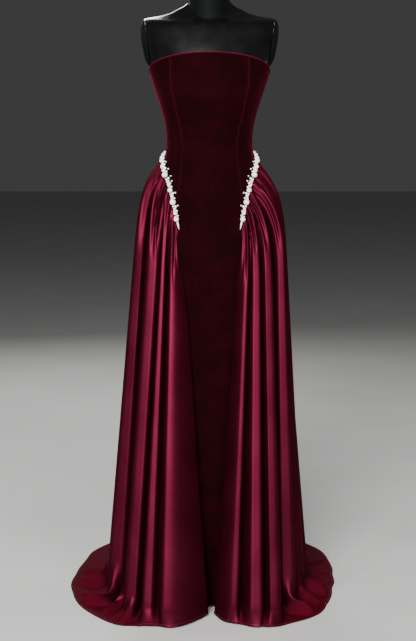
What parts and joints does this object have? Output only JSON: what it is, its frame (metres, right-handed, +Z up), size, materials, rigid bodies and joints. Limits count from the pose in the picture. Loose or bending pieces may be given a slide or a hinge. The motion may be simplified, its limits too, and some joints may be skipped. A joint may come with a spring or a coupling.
{
  "type": "evening gown on dress form",
  "caption": "Strapless floor-length evening gown with velvet bodice and front panel, gathered satin side skirts and pearl trim, on a limbless dress form.",
  "frame": {"origin": "middle of the underside of the stand's round base, on the floor", "axes": "+Z up, front of the gown towards -Y, +X to the right of a viewer who faces the front, train towards +Y"},
  "size_m": [0.6934, 0.9124, 1.545],
  "materials": {
    "velvet": "wine-red pile velvet, dark face on and rosy at grazing edges",
    "satin": "burgundy duchess satin with a soft rosy sheen",
    "pearl": "white and cream pearl",
    "zip": "lacquered zip in the colour of the velvet",
    "form_gloss": "black gloss glass-fibre shell",
    "form_matte": "black matte",
    "stand_metal": "black powder coat"
  },
  "bodies": {
    "root": {"centre_front_panel": "velvet", "side_front_left": "velvet", "side_front_right": "velvet", "side_back_left": "velvet", "side_back_right": "velvet", "centre_back_left": "velvet", "centre_back_right": "velvet", "satin_front_left": "satin", "satin_front_right": "satin", "satin_back_left": "satin", "satin_back_right": "satin", "pearl_trim_left": "pearl", "pearl_trim_right": "pearl", "zip_chain": "zip", "zip_slider": "zip", "form_torso": "form_gloss", "neck_block": "form_matte", "arm_cap_left": "form_matte", "arm_cap_right": "form_matte", "stand_base": "stand_metal", "stand_pole": "stand_metal"},
    "zip_tab": {"zip_pull": "zip"}
  },
  "joints": [
    {"name": "zip_tab_flip", "type": "hinge", "parent": "root", "child": "zip_tab", "pos_m": [0, 0.09072, 1.2594], "axis": [1, 0, 0], "range_deg": [0, 150]}
  ]
}
